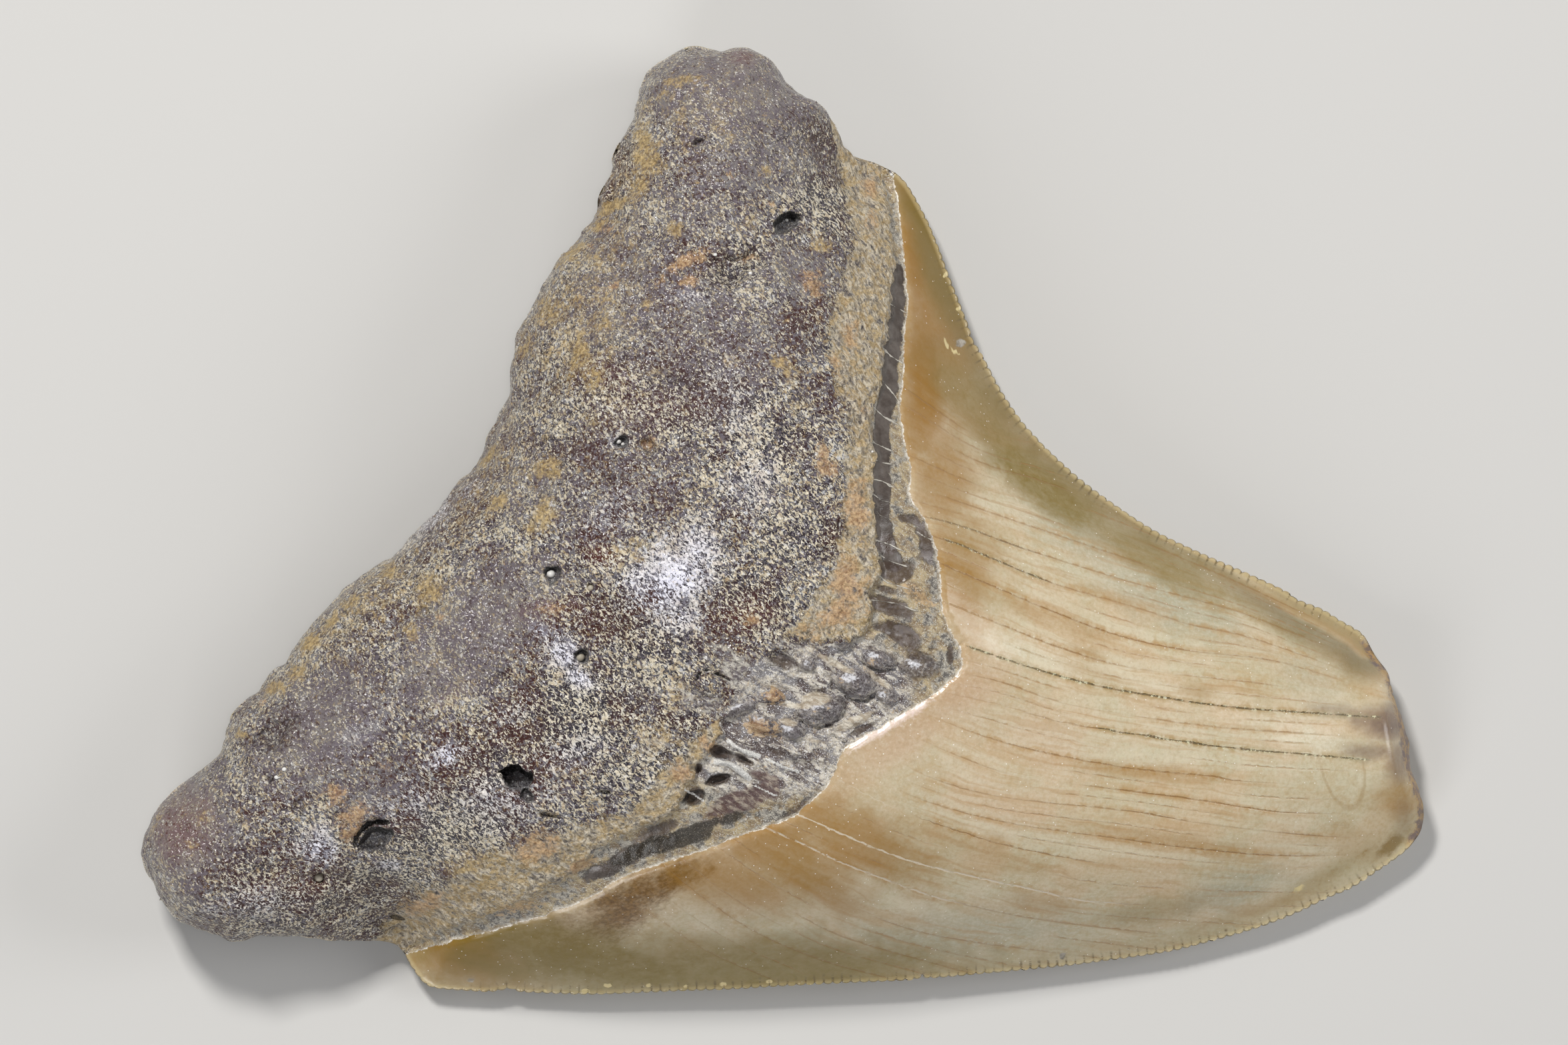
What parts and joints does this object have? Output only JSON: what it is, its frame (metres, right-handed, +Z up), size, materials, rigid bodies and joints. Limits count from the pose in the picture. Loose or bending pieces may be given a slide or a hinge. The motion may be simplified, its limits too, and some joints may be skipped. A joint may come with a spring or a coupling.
{
  "type": "fossil shark tooth",
  "caption": "Fossil shark tooth, broad and triangular, with a serrated enamel crown, a blunt broken tip and a rough two-lobed root, lying on its flatter outer face.",
  "frame": {"origin": "under the middle of the outline's bounding box, on the plane that the tooth lies on", "axes": "+X towards the crown's broken tip, +Y towards the upper lobe of the root, +Z up out of the rounded inner face"},
  "size_m": [0.1041, 0.077, 0.0213],
  "materials": {
    "fossil_tooth": "polished enamel crown and rough, pitted root"
  },
  "bodies": {
    "root": {"tooth": "fossil_tooth"}
  },
  "joints": []
}
